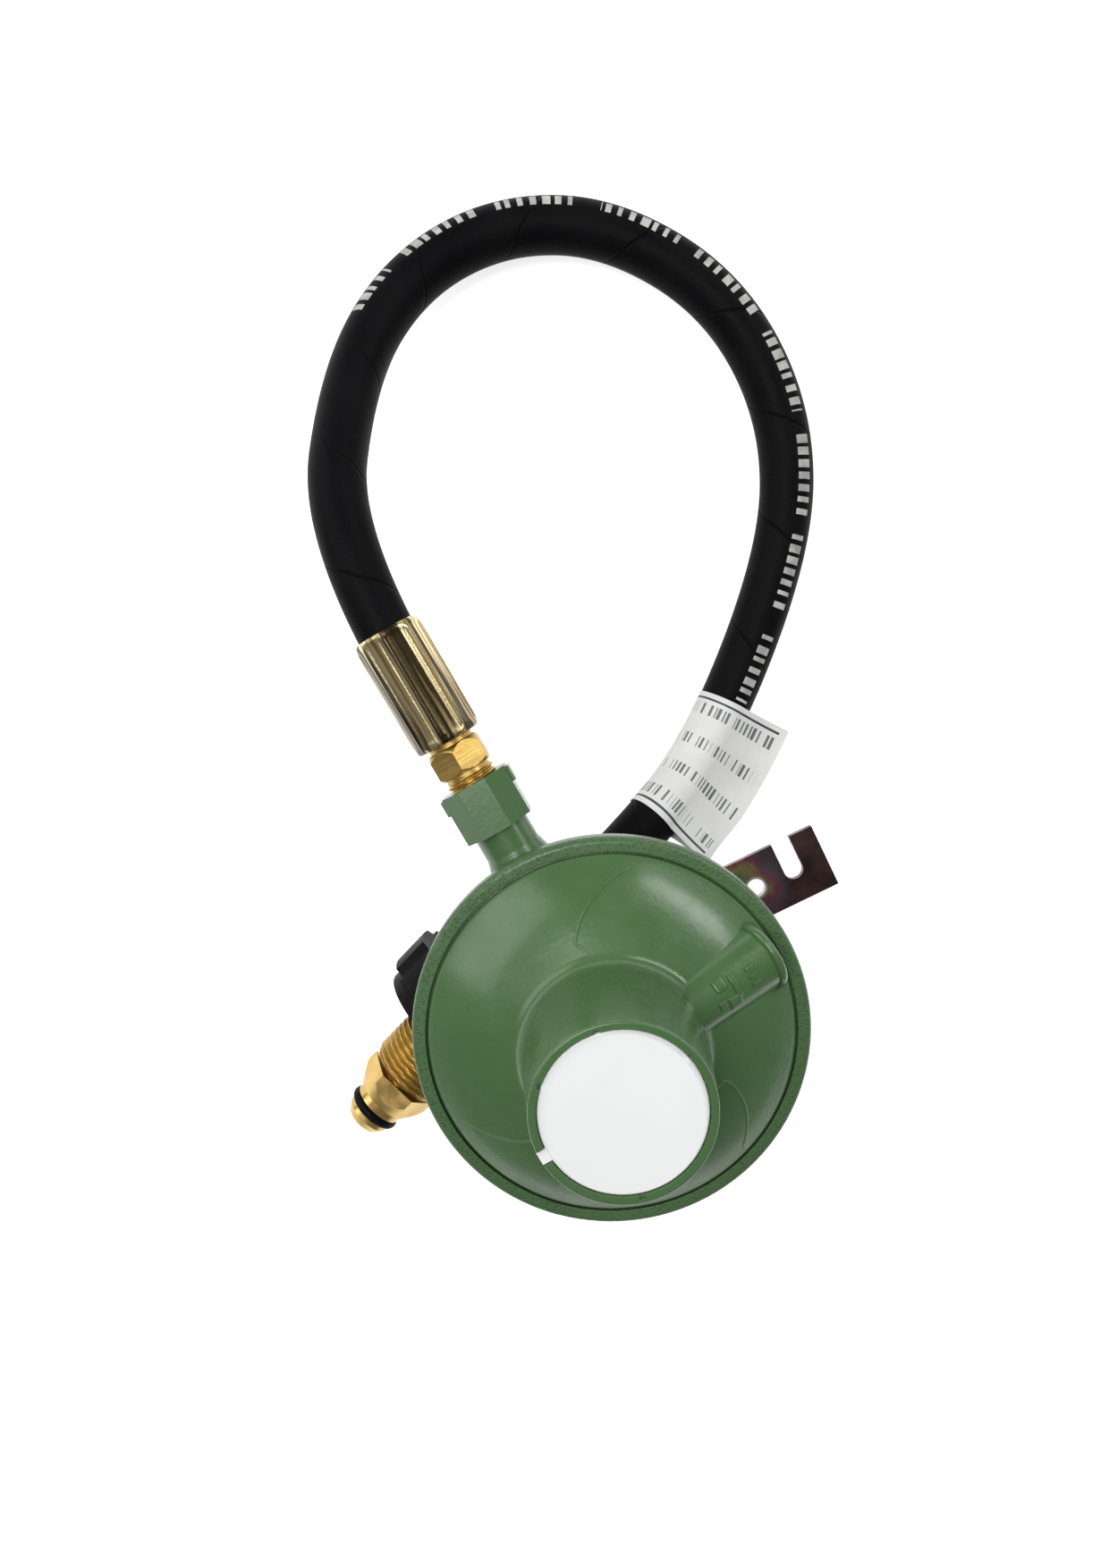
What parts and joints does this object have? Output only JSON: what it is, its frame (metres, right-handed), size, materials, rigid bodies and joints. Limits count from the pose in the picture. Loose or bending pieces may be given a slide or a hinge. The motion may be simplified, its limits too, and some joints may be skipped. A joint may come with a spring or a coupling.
{
  "type": "propane regulator hose",
  "caption": "Low-pressure gas regulator with a spring tower, a rear hanging bracket and a short rubber hose ending in a hand-tightened cylinder connector.",
  "frame": {"origin": "centre of the mounting bracket's back face, on the regulator's diaphragm axis", "axes": "+Z along the diaphragm axis towards the spring tower, gas inlet towards -X, outlet towards +X, bracket arm and vent towards +Y"},
  "size_m": [0.2535, 0.2127, 0.114],
  "materials": {
    "green_paint": "glossy sage-green powder coat over zinc casting",
    "white_cap": "smooth white moulded plastic",
    "black_rubber": "wrapped black hose rubber",
    "seal_rubber": "smooth black seal rubber",
    "diaphragm_rubber": "fabric-backed black rubber",
    "brass": "machined brass",
    "zinc_yellow": "yellow-passivated zinc plate",
    "bracket_zinc": "iridescent passivated zinc plate",
    "spring_steel": "zinc-plated spring steel",
    "plated_steel": "bright zinc plate",
    "zinc_casting": "bare die-cast",
    "black_plastic": "moulded black nylon",
    "filter_mesh": "sintered bronze",
    "label_film": "white printed label film"
  },
  "bodies": {
    "regulator": {"lower_casing": "green_paint", "bonnet": "green_paint", "vent_screen": "plated_steel", "main_spring": "spring_steel", "diaphragm": "diaphragm_rubber", "lever_pin": "plated_steel", "valve_orifice": "brass", "inlet_filter": "filter_mesh", "mounting_bracket": "bracket_zinc", "bracket_screws": "plated_steel", "inlet_stem": "brass", "inlet_ferrule": "zinc_yellow", "pol_nipple": "brass", "nose_o_ring": "seal_rubber", "retaining_ring": "spring_steel", "cylinder_ferrule": "zinc_yellow", "hose": "black_rubber", "hose_label": "label_film"},
    "cap": {"tower_cap": "white_cap", "cap_seal": "seal_rubber"},
    "spring_seat": {"spring_top_seat": "plated_steel"},
    "adjuster": {"adjusting_nut": "zinc_casting"},
    "diaphragm_group": {"diaphragm_plate": "plated_steel", "diaphragm_washer": "plated_steel", "diaphragm_stem": "zinc_casting", "relief_spring": "spring_steel", "relief_nut": "plated_steel"},
    "lever_arm": {"lever": "plated_steel"},
    "valve": {"valve_poppet": "brass", "valve_disc": "seal_rubber"},
    "connector_nut": {"pol_nut": "brass", "handwheel": "black_plastic"}
  },
  "joints": [
    {"name": "cap_lift", "type": "slide", "parent": "regulator", "child": "cap", "axis": [0, 0, 1], "range_m": [0, 0.02]},
    {"name": "adjuster_travel", "type": "slide", "parent": "regulator", "child": "spring_seat", "axis": [0, 0, 1], "range_m": [-0.0016, 0.0031], "deforming": ["main_spring"]},
    {"name": "adjuster_turn", "type": "hinge", "parent": "spring_seat", "child": "adjuster", "pos_m": [0, 0, 0.0955], "axis": [0, 0, 1], "range_deg": [-360, 720]},
    {"name": "diaphragm_travel", "type": "slide", "parent": "regulator", "child": "diaphragm_group", "axis": [0, 0, 1], "range_m": [0, 0.0012], "stiffness_N_per_m": 2000, "deforming": ["diaphragm"]},
    {"name": "lever_swing", "type": "hinge", "parent": "regulator", "child": "lever_arm", "pos_m": [-0.012, 0, 0.0402], "axis": [0, 1, 0], "range_deg": [-6, 0.3]},
    {"name": "valve_slide", "type": "slide", "parent": "regulator", "child": "valve", "axis": [1, 0, 0], "range_m": [-0.00066, 0.00005]},
    {"name": "connector_turn", "type": "hinge", "parent": "regulator", "child": "connector_nut", "pos_m": [-0.0015, -0.0748, 0.0246], "axis": [-0.284, 0.9588, 0], "continuous": true}
  ],
  "couplings": [
    {"joint": "adjuster_travel", "follows": "adjuster_turn", "m_per_rad": 0.00023873},
    {"joint": "lever_swing", "follows": "diaphragm_travel", "rad_per_m": -83.333},
    {"joint": "valve_slide", "follows": "diaphragm_travel", "ratio": -0.525}
  ]
}
